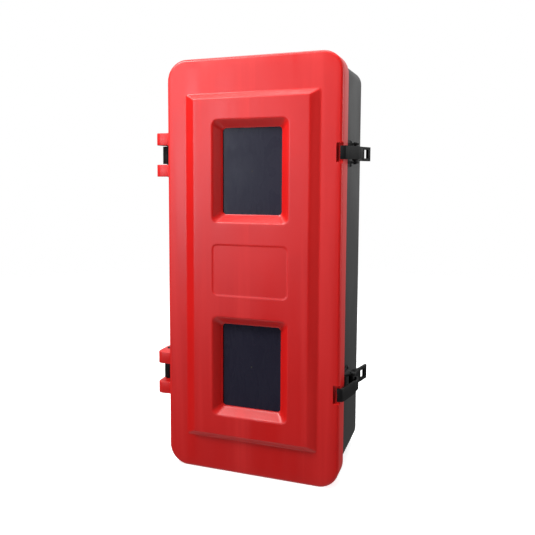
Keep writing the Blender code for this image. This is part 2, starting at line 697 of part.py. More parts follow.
clear_scene()
PARTS = collection("wall_cabinet")
DOOR_AXIS = joint_empty("door_axis", HINGE_X, HINGE_Y, 0.0)
make_shell()
make_door(DOOR_AXIS)
make_seal(DOOR_AXIS)
for level, sign in (("upper", 1), ("lower", -1)):
    make_window(level, sign * WINDOW_Z, DOOR_AXIS)
    make_hinge_pin(level, sign * STATION_Z)
    make_latch(level, sign * STATION_Z)
    make_cradle(level, sign * CRADLE_Z)
make_base_rest()
make_washers()
bpy.context.view_layer.update()
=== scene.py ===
"""Looks of the wall cabinet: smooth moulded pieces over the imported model, their materials, lights and camera.

Metres. The door faces -Y, and the back lies in the plane y = 0."""

import json
import math

import bmesh
import bpy
import numpy as np
from mathutils import Matrix, Vector


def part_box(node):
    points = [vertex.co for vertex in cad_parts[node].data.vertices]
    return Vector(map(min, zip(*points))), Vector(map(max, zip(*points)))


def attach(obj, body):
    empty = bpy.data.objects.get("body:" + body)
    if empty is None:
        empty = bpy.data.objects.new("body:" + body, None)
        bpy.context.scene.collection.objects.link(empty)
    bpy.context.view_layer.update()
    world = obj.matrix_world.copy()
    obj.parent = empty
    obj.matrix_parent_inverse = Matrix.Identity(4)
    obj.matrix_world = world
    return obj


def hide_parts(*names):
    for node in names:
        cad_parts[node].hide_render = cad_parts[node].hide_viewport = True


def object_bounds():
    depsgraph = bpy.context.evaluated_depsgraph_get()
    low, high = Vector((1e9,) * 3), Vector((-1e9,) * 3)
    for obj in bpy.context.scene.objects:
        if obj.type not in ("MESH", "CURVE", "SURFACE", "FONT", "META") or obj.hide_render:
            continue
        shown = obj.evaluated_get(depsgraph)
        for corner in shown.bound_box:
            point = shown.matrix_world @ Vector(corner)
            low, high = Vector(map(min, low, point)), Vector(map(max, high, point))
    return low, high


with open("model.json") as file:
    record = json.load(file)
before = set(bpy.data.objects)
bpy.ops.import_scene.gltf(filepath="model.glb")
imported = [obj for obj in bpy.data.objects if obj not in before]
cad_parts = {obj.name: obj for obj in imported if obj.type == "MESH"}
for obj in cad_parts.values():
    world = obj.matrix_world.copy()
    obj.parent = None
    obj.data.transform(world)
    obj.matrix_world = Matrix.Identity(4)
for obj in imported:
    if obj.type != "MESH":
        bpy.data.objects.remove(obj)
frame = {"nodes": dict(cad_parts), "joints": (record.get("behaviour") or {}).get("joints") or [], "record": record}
CAD_BOX = [list(corner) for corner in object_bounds()]
BODIES = frame["record"]["behaviour"]["bodies"]
BODY_OF = {node: body for body, nodes in BODIES.items() for node in nodes}
JOINT_AT = {joint["name"]: Vector(joint["pos_m"]) for joint in frame["joints"]}
LEVELS = ("upper", "lower")

# --- sizes read from the frame --------------------------------------------------------------------
DOOR_LOW, DOOR_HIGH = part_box("door_panel")
DOOR_HALF_X = DOOR_HIGH[0]
DOOR_HALF_Z = DOOR_HIGH[2]
PLATEAU_RISE = 0.0082
DOOR_FRONT = DOOR_LOW[1] + PLATEAU_RISE
RIM_BACK = DOOR_FRONT + 0.044
SHELL_HALF_X = 0.152
SHELL_HALF_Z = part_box("body_shell")[1][2]
SHELL_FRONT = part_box("body_shell")[0][1]
HINGE_X, HINGE_Y = JOINT_AT["door_swing"][:2]

# --- door sizes -----------------------------------------------------------------------------------
WALL = 0.0035
DOOR_CORNER = 0.037
DOOR_EDGE = 0.0055
PLATEAU_BASE, PLATEAU_TOP = (0.1230, 0.3150), (0.1065, 0.3055)
RECESS_MOUTH, RECESS_FLOOR = (0.0702, 0.0915), (0.0555, 0.0775)
RECESS_DEPTH = 0.0148
RECESS_RADII = (0.011, 0.0065)
WINDOW_Z = 0.177
APERTURE, APERTURE_RADIUS = (0.0550, 0.0770), 0.0065
PLATEAU_RADII, LABEL_RADII = (0.004, 0.0025), (0.010, 0.0085)
LABEL_HALF, LABEL_FLOOR, LABEL_DEPTH = (0.0702, 0.0468), (0.0686, 0.0452), 0.0009
KEEPER_FROM_X, KEEPER_HALF_Z, KEEPER_DEPTH = 0.1497, 0.0162, 0.0062
LUG_MIDDLE_Z, LUG_TALL, LUG_RADIUS = 0.02925, 0.0225, 0.012
LUG_FRONT, LUG_BACK = -0.238, -0.182
KNUCKLE_TALL, KNUCKLE_R = 0.033, 0.011
HINGE_BORE_R, HINGE_PIN_R = 0.0033, 0.003
SEAL_WIDTH, SEAL_FOOT, SEAL_CORNER = 0.0055, 0.0012, 0.0195

# --- shell sizes ----------------------------------------------------------------------------------
SHELL_CORNER, SHELL_FILLET = 0.026, 0.024
MOUTH_MARGIN, MOUTH_THICK = 0.012, 0.003
NOTCH_HALF_Z, NOTCH_DEPTH, NOTCH_FROM_X = 0.0175, 0.012, 0.124
WALL_HOLE_X, WALL_HOLE_Z, WALL_HOLE_R = 0.090, 0.285, 0.0045
DRAIN_Y, DRAIN_R = -0.215, 0.005
CORNER_STEPS = 12
PAST = 0.01             # how far a cutter runs past what it cuts

# --- latch sizes ----------------------------------------------------------------------------------
LATCH_TALL, HOOK_TALL, TONGUE_TALL, FORK_GAP = 0.026, 0.0225, 0.0174, 0.0184
STRAP_THICK, TAIL_THICK = 0.004, 0.005
PIVOT_R, LINK_R = 0.0055, 0.0045
PIVOT_BORE_R, LINK_BORE_R = 0.0025, 0.0023
HOOK_LIP = [(0.1563, -0.2463), (0.1605, -0.2463), (0.1640, -0.2455), (0.1655, -0.2425)]
HOOK_STRAP = [(0.1670, -0.236), (0.1692, -0.226), (0.1730, -0.207), (0.1757, -0.195)]
HOOK_NECK = [(0.1768, -0.189), (0.1780, -0.181), (0.1783, -0.172), (0.1768, -0.162), (0.1725, -0.1535)]
CHEEK_END = [(0.1662, -0.138), (0.1675, -0.126)]
TAIL = [(0.1668, -0.131), (0.1690, -0.121), (0.1728, -0.108), (0.1785, -0.082)]
TAIL_SLOT, TAIL_SLOT_AT = (0.020, 0.016), (0.1746, -0.1012)
SPAN_STEPS = 5          # points from one point of a plan line to the next


# --- materials ------------------------------------------------------------------------------------
class Nodes:
    """A node tree, with the nodes that materials and the world both use."""

    def __init__(self, tree):
        self.tree = tree

    def node(self, kind, **settings):
        made = self.tree.nodes.new(kind)
        for key, value in settings.items():
            setattr(made, key, value)
        return made

    def link(self, source, target):
        self.tree.links.new(source, target)

    def ranged(self, source, low, high, to_low, to_high):
        made = self.node("ShaderNodeMapRange", interpolation_type="SMOOTHSTEP")
        names = ("From Min", "From Max", "To Min", "To Max")
        for name, value in zip(names, (low, high, to_low, to_high)):
            made.inputs[name].default_value = value
        self.link(source, made.inputs["Value"])
        return made.outputs["Result"]

    def maths(self, operation, *terms):
        """A sum or product of sockets and plain numbers."""
        made = self.node("ShaderNodeMath", operation=operation)
        for term, socket in zip(terms, made.inputs):
            if isinstance(term, (int, float)):
                socket.default_value = term
            else:
                self.link(term, socket)
        return made.outputs[0]


class Look(Nodes):
    """A procedural material, made node by node in the object's own coordinates."""

    def __init__(self, name, **uniform):
        self.material = bpy.data.materials.new(name)
        self.material.use_nodes = True
        super().__init__(self.material.node_tree)
        self.shader = self.tree.nodes["Principled BSDF"]
        for socket, value in uniform.items():
            self.shader.inputs[socket.replace("_", " ")].default_value = value
        self.place = self.node("ShaderNodeTexCoord").outputs["Object"]

    def stretched(self, scale):
        mapping = self.node("ShaderNodeMapping")
        mapping.inputs["Scale"].default_value = scale
        self.link(self.place, mapping.inputs["Vector"])
        return mapping.outputs["Vector"]

    def noise(self, scale, detail=3.0, stretch=(1.0, 1.0, 1.0), distortion=0.0):
        made = self.node("ShaderNodeTexNoise")
        made.inputs["Scale"].default_value = scale
        made.inputs["Detail"].default_value = detail
        made.inputs["Distortion"].default_value = distortion
        self.link(self.stretched(stretch), made.inputs["Vector"])
        return made.outputs["Fac"]

    def cells(self, scale, stretch=(1.0, 1.0, 1.0)):
        made = self.node("ShaderNodeTexVoronoi", feature="F1")
        made.inputs["Scale"].default_value = scale
        self.link(self.stretched(stretch), made.inputs["Vector"])
        return made.outputs["Distance"]

    def colours(self, factor, *stops):
        """A colour ramp over the factor. Each stop is a position and a colour."""
        made = self.node("ShaderNodeValToRGB")
        ramp = made.color_ramp
        ramp.elements.remove(ramp.elements[1])
        for index, (position, colour) in enumerate(stops):
            element = ramp.elements[0] if index == 0 else ramp.elements.new(position)
            element.position = position
            element.color = (*colour, 1.0)
        self.link(factor, made.inputs["Fac"])
        return made.outputs["Color"]

    def mixed(self, factor, first, second):
        made = self.node("ShaderNodeMix", data_type="RGBA")
        factor_socket, first_socket, second_socket = (made.inputs[i] for i in (0, 6, 7))
        for source, socket in ((factor, factor_socket), (first, first_socket), (second, second_socket)):
            if isinstance(source, (int, float)):
                socket.default_value = source
            elif isinstance(source, tuple):
                socket.default_value = (*source, 1.0)
            else:
                self.link(source, socket)
        return made.outputs[2]

    def added(self, first, second, weight):
        """The first plus so much of the second."""
        return self.maths("MULTIPLY_ADD", second, weight, first)

    def worn_edges(self, low, high):
        """0 on flat and hollow places, 1 along the outward edges that hands and tools rub."""
        made = self.node("ShaderNodeNewGeometry")
        return self.ranged(made.outputs["Pointiness"], low, high, 0.0, 1.0)

    def fade_out(self, near, far):
        """Lets the surface vanish with distance from its middle."""
        length = self.node("ShaderNodeVectorMath", operation="LENGTH")
        self.link(self.place, length.inputs[0])
        fade = self.ranged(length.outputs["Value"], near, far, 1.0, 0.0)
        self.link(fade, self.shader.inputs["Alpha"])

    def finish(self, colour, roughness, height, bump_mm):
        self.link(colour, self.shader.inputs["Base Color"])
        self.link(roughness, self.shader.inputs["Roughness"])
        bump = self.node("ShaderNodeBump")
        bump.inputs["Strength"].default_value = 1.0
        bump.inputs["Distance"].default_value = bump_mm / 1000
        self.link(height, bump.inputs["Height"])
        self.link(bump.outputs["Normal"], self.shader.inputs["Normal"])
        return self.material


def red_plastic():
    look = Look("door_red_satin", IOR=1.5, Specular_IOR_Level=0.44)
    streaks = look.noise(26.0, 4.0, (1.0, 1.0, 0.045), 0.4)
    clouds = look.noise(7.0, 3.0)
    grain = look.noise(1500.0, 2.0)
    pores = look.cells(1150.0)
    base = look.colours(clouds, (0.3, (0.610, 0.0068, 0.0058)), (0.7, (0.670, 0.0090, 0.0072)))
    base = look.mixed(look.ranged(streaks, 0.52, 0.70, 0.0, 0.55), base, (0.74, 0.020, 0.018))
    base = look.mixed(look.worn_edges(0.54, 0.62), base, (0.74, 0.024, 0.021))
    rough = look.added(look.ranged(streaks, 0.3, 0.7, 0.30, 0.44), grain, 0.06)
    height = look.added(look.added(grain, pores, 0.7), streaks, 0.5)
    return look.finish(base, rough, height, 0.035)


def dark_plastic(name, colour, scuff, shine, grain_size, roughness):
    """A dark moulded plastic. Its grain size is the cells' scale and the bump's height in mm."""
    look = Look(name, IOR=1.5, Specular_IOR_Level=shine)
    grain_scale, bump_mm = grain_size
    clouds = look.noise(9.0, 4.0)
    streaks = look.noise(34.0, 3.0, (1.0, 1.0, 0.06), 0.3)
    grain = look.cells(grain_scale)
    fine = look.noise(grain_scale * 1.4, 2.0)
    paler = tuple(1.35 * c for c in colour)
    base = look.mixed(look.ranged(clouds, 0.35, 0.7, 0.0, 0.45), colour, paler)
    base = look.mixed(look.ranged(streaks, 0.58, 0.74, 0.0, 0.30), base, scuff)
    base = look.mixed(look.worn_edges(0.53, 0.61), base, scuff)
    rough = look.added(look.ranged(clouds, 0.3, 0.7, roughness - 0.05, roughness + 0.07), fine, 0.06)
    return look.finish(base, rough, look.added(grain, fine, 0.6), bump_mm)


def smoked_pane():
    look = Look("smoked_pane", IOR=1.49, Specular_IOR_Level=0.10)
    haze = look.noise(11.0, 3.0, (1.0, 1.0, 0.5))
    smear = look.noise(60.0, 5.0, (1.0, 1.0, 0.35), 1.2)
    ripple = look.noise(38.0, 2.0)
    base = look.colours(haze, (0.3, (0.0165, 0.0155, 0.0275)), (0.7, (0.0225, 0.0210, 0.0350)))
    rough = look.ranged(smear, 0.35, 0.75, 0.24, 0.36)
    return look.finish(base, rough, ripple, 0.01)


def plated_steel(name, low, high, scratch):
    look = Look(name, Metallic=1.0, IOR=2.5)
    spangle = look.cells(420.0)
    scratches = look.noise(700.0, 4.0, (1.0, 1.0, 0.12), 0.2)
    base = look.colours(spangle, (0.0, low), (0.8, high))
    base = look.mixed(look.ranged(scratches, 0.55, 0.8, 0.0, 0.4), base, scratch)
    rough = look.ranged(scratches, 0.25, 0.75, 0.24, 0.42)
    return look.finish(base, rough, look.added(scratches, spangle, 0.3), 0.02)


def seal_rubber():
    look = Look("seal_rubber", IOR=1.52, Specular_IOR_Level=0.35, Sheen_Weight=0.25, Sheen_Roughness=0.5)
    dust = look.noise(55.0, 5.0)
    grain = look.noise(1300.0, 3.0)
    base = look.colours(dust, (0.35, (0.014, 0.014, 0.014)), (0.75, (0.032, 0.031, 0.030)))
    rough = look.ranged(dust, 0.3, 0.7, 0.68, 0.85)
    return look.finish(base, rough, grain, 0.03)


LOOKS = {
    "red_plastic": red_plastic(),
    "black_plastic": dark_plastic(
        "shell_dark_grain",
        colour=(0.017, 0.0175, 0.0175),
        scuff=(0.055, 0.056, 0.054),
        shine=0.5,
        grain_size=(900.0, 0.05),
        roughness=0.46,
    ),
    "latch_plastic": dark_plastic(
        "latch_black_nylon",
        colour=(0.0045, 0.0045, 0.0047),
        scuff=(0.018, 0.018, 0.018),
        shine=0.15,
        grain_size=(1300.0, 0.03),
        roughness=0.44,
    ),
    "smoked_glazing": smoked_pane(),
    "seal_rubber": seal_rubber(),
    "zinc_steel": plated_steel(
        "zinc_plated_steel", low=(0.50, 0.51, 0.53), high=(0.66, 0.67, 0.68), scratch=(0.36, 0.35, 0.33)
    ),
    "black_steel": plated_steel(
        "blackened_steel", low=(0.020, 0.020, 0.021), high=(0.034, 0.034, 0.036), scratch=(0.06, 0.058, 0.055)
    ),
}
SLOT_OF = {part["node"]: part["material_slot"] for part in frame["record"]["subparts"]}


# --- mesh helpers ---------------------------------------------------------------------------------
def as_piece(name, bm, sharp_degrees=42):
    """A bmesh as a smooth-shaded object."""
    bmesh.ops.recalc_face_normals(bm, faces=bm.faces)
    mesh = bpy.data.meshes.new(name)
    bm.to_mesh(mesh)
    bm.free()
    mesh.shade_smooth()
    mesh.set_sharp_from_angle(angle=math.radians(sharp_degrees))
    made = bpy.data.objects.new(name, mesh)
    bpy.context.scene.collection.objects.link(made)
    return made


def dress(piece, *nodes, slot=None, body=None):
    """Gives a piece its material and body, and hides the CAD nodes it stands for."""
    slot = slot or SLOT_OF[nodes[0]]
    piece.data.materials.clear()
    piece.data.materials.append(LOOKS[slot])
    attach(piece, body or BODY_OF[nodes[0]])
    if nodes:
        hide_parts(*nodes)
    return piece


def applied(piece, sharp_degrees=42):
    """Applies the piece's modifiers."""
    graph = bpy.context.evaluated_depsgraph_get()
    piece.data = bpy.data.meshes.new_from_object(piece.evaluated_get(graph))
    piece.modifiers.clear()
    piece.data.shade_smooth()
    piece.data.set_sharp_from_angle(angle=math.radians(sharp_degrees))
    return piece


def combine(target, operation, *others):
    """Joins the others to the target, or cuts them from it, and uses them up."""
    for other in others:
        step = target.modifiers.new("step", "BOOLEAN")
        step.operation = operation
        step.object = other
    bpy.context.view_layer.update()
    applied(target)
    for other in others:
        bpy.data.objects.remove(other)
    return target


def soften(piece, width, segments=3, angle=38):
    """Rounds the piece's edges."""
    bevel = piece.modifiers.new("soften", "BEVEL")
    bevel.width = width
    bevel.segments = segments
    bevel.limit_method = "ANGLE"
    bevel.angle_limit = math.radians(angle)
    bevel.harden_normals = False
    bpy.context.view_layer.update()
    return applied(piece, 50)


def rounded_outline(half, radius, steps=10):
    """Points (x, z) round a rounded rectangle. Their number depends only on steps, as a loft needs."""
    points = []
    for quarter, (sx, sz) in enumerate(((1, 1), (-1, 1), (-1, -1), (1, -1))):
        centre = Vector((sx * (half[0] - radius), sz * (half[1] - radius)))
        for k in range(steps + 1):
            angle = math.pi / 2 * (quarter + k / steps)
            points.append(centre + Vector((math.cos(angle), math.sin(angle))) * radius)
    return points


def loft(name, rings, caps=(True, True)):
    """Joins rings of (x, z) points at given heights y into one skin. Each ring is (points, y)."""
    bm = bmesh.new()
    rows = [[bm.verts.new((p.x, y, p.y)) for p in points] for points, y in rings]
    count = len(rows[0])
    for near, far in zip(rows, rows[1:]):
        for i in range(count):
            bm.faces.new((near[i], near[(i + 1) % count], far[(i + 1) % count], far[i]))
    for wanted, row in zip(caps, (rows[0], rows[-1])):
        if wanted:
            bm.faces.new(row)
    return as_piece(name, bm)


def rounded_plate(name, half, radius, y, edge, z=0.0, steps=8):
    """A plate with a rounded outline and softened front and back edges."""
    rings = []
    for side, at in ((1, y[0]), (-1, y[1])):
        angles = np.linspace(0, math.pi / 2, 4)
        turn = [(edge + 0.0015, 0.0)]
        turn += [(edge * (1 - math.sin(a)), edge * (1 - math.cos(a))) for a in angles]
        arc = []
        for inset, down in turn:
            outline = rounded_outline((half[0] - inset, half[1] - inset), radius - inset, steps)
            arc.append((outline, at + side * down))
        rings += arc if side == 1 else arc[::-1]
    plate = loft(name, rings)
    plate.data.transform(Matrix.Translation((0.0, 0.0, z)))
    return plate


def box_piece(name, x, y, z):
    bm = bmesh.new()
    size = Matrix.Diagonal((x[1] - x[0], y[1] - y[0], z[1] - z[0], 1.0))
    middle = Matrix.Translation((sum(x) / 2, sum(y) / 2, sum(z) / 2))
    bmesh.ops.create_cube(bm, size=1.0, matrix=middle @ size)
    return as_piece(name, bm)


def facing_along(axis):
    """The turn that points +Z along an axis."""
    return Vector(axis).to_track_quat("Z", "Y").to_matrix().to_4x4()


def rod_piece(name, start, end, radius, sides=40):
    start, end = Vector(start), Vector(end)
    bm = bmesh.new()
    bmesh.ops.create_cone(
        bm,
        cap_ends=True,
        segments=sides,
        radius1=radius,
        radius2=radius,
        depth=(end - start).length,
        matrix=Matrix.Translation((start + end) / 2) @ facing_along(end - start),
    )
    return as_piece(name, bm)


def upright_rod(name, axis, low, high, radius, sides=40):
    """A rod on a vertical axis through a plan point, between two heights."""
    return rod_piece(name, (*axis[:2], low), (*axis[:2], high), radius, sides)


def turned(name, profile, at, along, sides=32):
    """A turned piece: the profile's (radius, height) points spun about an axis."""
    bm = bmesh.new()
    place = Matrix.Translation(at) @ facing_along(along)
    rows = []
    for radius, height in profile:
        if radius == 0:
            rows.append([bm.verts.new(place @ Vector((0, 0, height)))])
            continue
        angles = [2 * math.pi * k / sides for k in range(sides)]
        ring = [Vector((radius * math.cos(a), radius * math.sin(a), height)) for a in angles]
        rows.append([bm.verts.new(place @ p) for p in ring])
    for near, far in zip(rows, rows[1:]):
        for i in range(sides):
            j = (i + 1) % sides
            corners = [near[i % len(near)], near[j % len(near)], far[j % len(far)], far[i % len(far)]]
            bm.faces.new(list(dict.fromkeys(corners)))
    return as_piece(name, bm)


def between(p, q, r, s, t):
    """Catmull-Rom: the value at t from q, 0, to r, 1, with p before them and s after."""
    square, cube = 2 * p - 5 * q + 4 * r - s, 3 * q - p - 3 * r + s
    return 0.5 * (2 * q + (r - p) * t + square * t * t + cube * t ** 3)


def smooth_line(points, per_span=SPAN_STEPS):
    """Points on a smooth curve through the given plan points."""
    ends = [points[0], *points, points[-1]]
    line = []
    for four in zip(ends, ends[1:], ends[2:], ends[3:]):
        for i in range(per_span):
            line.append(tuple(between(*values, i / per_span) for values in zip(*four)))
    return [*line, points[-1]]


def ribbon(line, thickness, round_ends=0):
    """The outline of a strip along a plan line, with round ends where steps are given."""
    half = thickness / 2
    left, right = [], []
    for i, point in enumerate(line):
        before, after = line[max(i - 1, 0)], line[min(i + 1, len(line) - 1)]
        along = (Vector(after) - Vector(before)).normalized()
        across = Vector((-along.y, along.x)) * half
        left.append(Vector(point) + across)
        right.append(Vector(point) - across)

    def cap(centre, spoke_end):
        spoke = spoke_end - Vector(centre)
        turns = [Matrix.Rotation(-math.pi * k / round_ends, 2) for k in range(1, round_ends)]
        return [Vector(centre) + turn @ spoke for turn in turns]

    end = cap(line[-1], left[-1]) if round_ends else []
    start = cap(line[0], right[0]) if round_ends else []
    return [*left, *end, *reversed(right), *start]


def plan_plate(name, outline, z_low, z_high):
    """A flat piece with this outline in plan, between two heights."""
    bm = bmesh.new()
    low = [bm.verts.new((x, y, z_low)) for x, y in outline]
    high = [bm.verts.new((x, y, z_high)) for x, y in outline]
    bm.faces.new(low)
    bm.faces.new(high)
    for i in range(len(outline)):
        j = (i + 1) % len(outline)
        bm.faces.new((low[i], low[j], high[j], high[i]))
    return as_piece(name, bm)


def refined(node, width, segments=2):
    """A copy of a CAD node with its flat faces merged and its edges rounded."""
    bm = bmesh.new()
    bm.from_mesh(frame["nodes"][node].data)
    bmesh.ops.remove_doubles(bm, verts=bm.verts, dist=1e-6)
    bmesh.ops.dissolve_limit(bm, angle_limit=math.radians(1), verts=bm.verts, edges=bm.edges)
    return dress(soften(as_piece(f"{node}_moulding", bm), width, segments), node)


# --- door -----------------------------------------------------------------------------------------
def rect_distance(x, z, half_x, half_z, radius):
    """Signed distance to a rounded rectangle, negative inside."""
    qx, qz = np.abs(x) - half_x + radius, np.abs(z) - half_z + radius
    outside = np.hypot(np.maximum(qx, 0), np.maximum(qz, 0))
    return outside + np.minimum(np.maximum(qx, qz), 0) - radius


def ramp(x, z, outer, inner, radii):
    """How far a point is from the outer outline, 0, to the inner one, 1, going on past both."""
    low, high = np.full(x.shape, -1.0), np.full(x.shape, 2.0)
    for _ in range(22):
        t = (low + high) / 2
        half_x, half_z = (o + (i - o) * t for o, i in zip(outer, inner))
        radius = np.maximum(radii[0] + (radii[1] - radii[0]) * t, 0.0004)
        past = rect_distance(x, z, half_x, half_z, radius) > 0
        low, high = np.where(past, low, t), np.where(past, t, high)
    return (low + high) / 2


def eased(t, ease):
    """0 to 1 with the two bends rounded over plus and minus ease."""
    def bend(s):
        return np.where(s < -ease, 0.0, np.where(s > ease, s, (s + ease) ** 2 / (4 * ease)))

    return bend(t) - bend(t - 1)


def door_face(x, z):
    """The Y of the door's front."""
    y = DOOR_FRONT - PLATEAU_RISE * eased(ramp(x, z, PLATEAU_BASE, PLATEAU_TOP, PLATEAU_RADII), 0.10)
    for middle in (-WINDOW_Z, WINDOW_Z):
        y += RECESS_DEPTH * eased(ramp(x, z - middle, RECESS_MOUTH, RECESS_FLOOR, RECESS_RADII), 0.13)
    return y + LABEL_DEPTH * eased(ramp(x, z, LABEL_HALF, LABEL_FLOOR, LABEL_RADII), 0.45)


def off_aperture(x, z_from_window):
    """How far a point is outside a window's aperture, negative inside."""
    return rect_distance(x, z_from_window, *APERTURE, APERTURE_RADIUS)


def grid_lines(end, bands, coarse):
    """Positions from -end to end: close together inside the bands (low, high, step), coarse elsewhere."""
    marks = {0.0, end}
    for low, high, step in bands:
        marks.update(np.linspace(low, high, round((high - low) / step) + 1))
    marks = sorted(marks)
    lines = [0.0]
    for a, b in zip(marks, marks[1:]):
        lines += list(np.linspace(a, b, max(1, math.ceil((b - a) / coarse)) + 1)[1:])
    return np.array([-v for v in lines[:0:-1]] + lines)


def grid_faces(columns, rows):
    """The faces of a grid of vertices, and its edge's vertices in order round it."""
    faces = [
        (j * columns + i, j * columns + i + 1, (j + 1) * columns + i + 1, (j + 1) * columns + i)
        for j in range(rows - 1)
        for i in range(columns - 1)
    ]
    edge = list(range(columns))
    edge += [j * columns + columns - 1 for j in range(1, rows)]
    edge += [(rows - 1) * columns + i for i in range(columns - 2, -1, -1)]
    edge += [j * columns for j in range(rows - 2, 0, -1)]
    return faces, edge


def onto_corner(x, z, half, radius):
    """A point on a rectangle's edge moved onto its rounded outline, with the outline's normal there."""
    from_x = math.copysign(max(abs(x) - half[0] + radius, 0.0), x)
    from_z = math.copysign(max(abs(z) - half[1] + radius, 0.0), z)
    if from_x and from_z:
        normal = Vector((from_x, from_z)).normalized()
        return Vector((x - from_x + normal.x * radius, z - from_z + normal.y * radius)), normal
    if abs(x) > half[0] - 1e-9:
        return Vector((x, z)), Vector((math.copysign(1, x), 0))
    return Vector((x, z)), Vector((0, math.copysign(1, z)))


def rim_rings(starts, outline, normals, inset, radius):
    """Rings (points, y) from the front's edge round the door's edge radius and back to the rim's lip."""
    front = DOOR_FRONT + inset
    rings = [([a.lerp(b, t) for a, b in zip(starts, outline)], front) for t in (0.35, 0.7, 1.0)]
    for angle in np.linspace(0, math.pi / 2, 7)[1:]:
        out, back = radius * math.sin(angle), radius * (1 - math.cos(angle))
        rings.append(([p + n * out for p, n in zip(outline, normals)], front + back))
    side = rings[-1][0]
    lip = 0.001 if inset == 0 else 0.0006
    for y_at in (front + radius + 0.012, front + radius + 0.025, RIM_BACK - lip):
        rings.append((side, y_at))
    inward = -lip if inset == 0 else lip
    rings.append(([p + n * inward * 0.3 for p, n in zip(side, normals)], RIM_BACK - lip * 0.3))
    rings.append(([p + n * inward for p, n in zip(side, normals)], RIM_BACK))
    return rings


def door_skin(inset, x_lines, z_lines):
    """Vertices and faces of the door's outer skin, or with inset of its inner one."""
    x, z = np.meshgrid(x_lines, z_lines)
    y = door_face(x, z) + inset
    verts = list(zip(x.ravel(), y.ravel(), z.ravel()))
    faces, edge = grid_faces(len(x_lines), len(z_lines))
    radius = max(DOOR_EDGE - inset, 0.0015)
    flat = (DOOR_HALF_X - inset - radius, DOOR_HALF_Z - inset - radius)
    corner = DOOR_CORNER - inset - radius
    starts, outline, normals = [], [], []
    for index in edge:
        px, _, pz = verts[index]
        at, normal = onto_corner(px / x_lines[-1] * flat[0], pz / z_lines[-1] * flat[1], flat, corner)
        starts.append(Vector((px, pz)))
        outline.append(at)
        normals.append(normal)
    rings = rim_rings(starts, outline, normals, inset, radius)
    previous, count = edge, len(edge)
    for points, y_at in rings:
        first = len(verts)
        verts += [(p.x, y_at, p.y) for p in points]
        current = list(range(first, first + count))
        for i in range(count):
            j = (i + 1) % count
            faces.append((previous[i], previous[j], current[j], current[i]))
        previous = current
    return verts, faces


def onto_aperture(x, z):
    """The nearest point of a window's aperture outline."""
    middle = math.copysign(WINDOW_Z, z)
    step = 1e-5
    for _ in range(3):
        away = float(off_aperture(x, z - middle))
        slope_x = float(off_aperture(x + step, z - middle)) - away
        slope_z = float(off_aperture(x, z + step - middle)) - away
        x, z = x - away * slope_x / step, z - away * slope_z / step
    return x, z


def make_door_panel():
    """The door's two skins, joined round the windows' apertures and the rim, less the keeper pockets."""
    slopes_x = [(0.0440, 0.0740, 0.0012), (0.1035, 0.1265, 0.0012)]
    slopes_z = [(0.0360, 0.0490, 0.0010), (0.0830, 0.1110, 0.0012)]
    slopes_z += [(0.2430, 0.2710, 0.0012), (0.3020, 0.3185, 0.0012)]
    x_lines = grid_lines(0.1275, slopes_x, 0.007)
    z_lines = grid_lines(0.3195, slopes_z, 0.007)
    outer, faces = door_skin(0.0, x_lines, z_lines)
    inner, _ = door_skin(WALL, x_lines, z_lines)
    bm = bmesh.new()
    verts = [bm.verts.new(v) for v in outer + inner]
    count = len(outer)

    def in_aperture(face):
        x = sum(outer[i][0] for i in face) / 4
        z = sum(outer[i][2] for i in face) / 4
        return off_aperture(x, abs(z) - WINDOW_Z) < 0

    kept = [face for face in faces if not in_aperture(face)]
    for face in kept:
        bm.faces.new([verts[i] for i in face])
        bm.faces.new([verts[i + count] for i in reversed(face)])
    edges = {}
    for face in kept:
        for a, b in zip(face, face[1:] + face[:1]):
            edges[frozenset((a, b))] = None if frozenset((a, b)) in edges else (a, b)
    for pair in filter(None, edges.values()):
        a, b = pair
        bm.faces.new((verts[b], verts[a], verts[a + count], verts[b + count]))
        for i in pair:
            x, _, z = outer[i]
            if abs(x) < 0.075 and abs(abs(z) - WINDOW_Z) < 0.1:
                for vert in (verts[i], verts[i + count]):
                    vert.co.x, vert.co.z = onto_aperture(x, z)
    bmesh.ops.delete(bm, geom=[v for v in bm.verts if not v.link_faces], context="VERTS")
    panel = as_piece("door_moulding", bm, 45)
    cutters = []
    for level in LEVELS:
        z = JOINT_AT[f"{level}_lever_swing"].z
        tall = (z - KEEPER_HALF_Z, z + KEEPER_HALF_Z)
        depth = (DOOR_FRONT - PAST, DOOR_FRONT + KEEPER_DEPTH)
        cutters.append(box_piece("keeper_cut", (KEEPER_FROM_X, DOOR_HALF_X + PAST), depth, tall))
    return dress(combine(panel, "DIFFERENCE", *cutters), "door_panel")


def make_keeper(level):
    """The walls of the pocket in the door's edge that the hook's lip sits in."""
    z = JOINT_AT[f"{level}_lever_swing"].z
    wall = 0.0028
    depth = DOOR_FRONT + KEEPER_DEPTH
    right = DOOR_HALF_X - 0.0006
    cup = box_piece(
        f"{level}_latch_keeper",
        (KEEPER_FROM_X - wall, right),
        (DOOR_FRONT + 0.0012, depth + wall),
        (z - KEEPER_HALF_Z - wall, z + KEEPER_HALF_Z + wall),
    )
    skin = 0.0001       # the pocket's walls stand this much proud of the cut in the panel
    room = box_piece(
        "room",
        (KEEPER_FROM_X + skin, right + PAST),
        (DOOR_FRONT - PAST, depth - skin),
        (z - KEEPER_HALF_Z + skin, z + KEEPER_HALF_Z - skin),
    )
    cup = soften(combine(cup, "DIFFERENCE", room), 0.0004, 2)
    return dress(cup, slot="red_plastic", body="door")


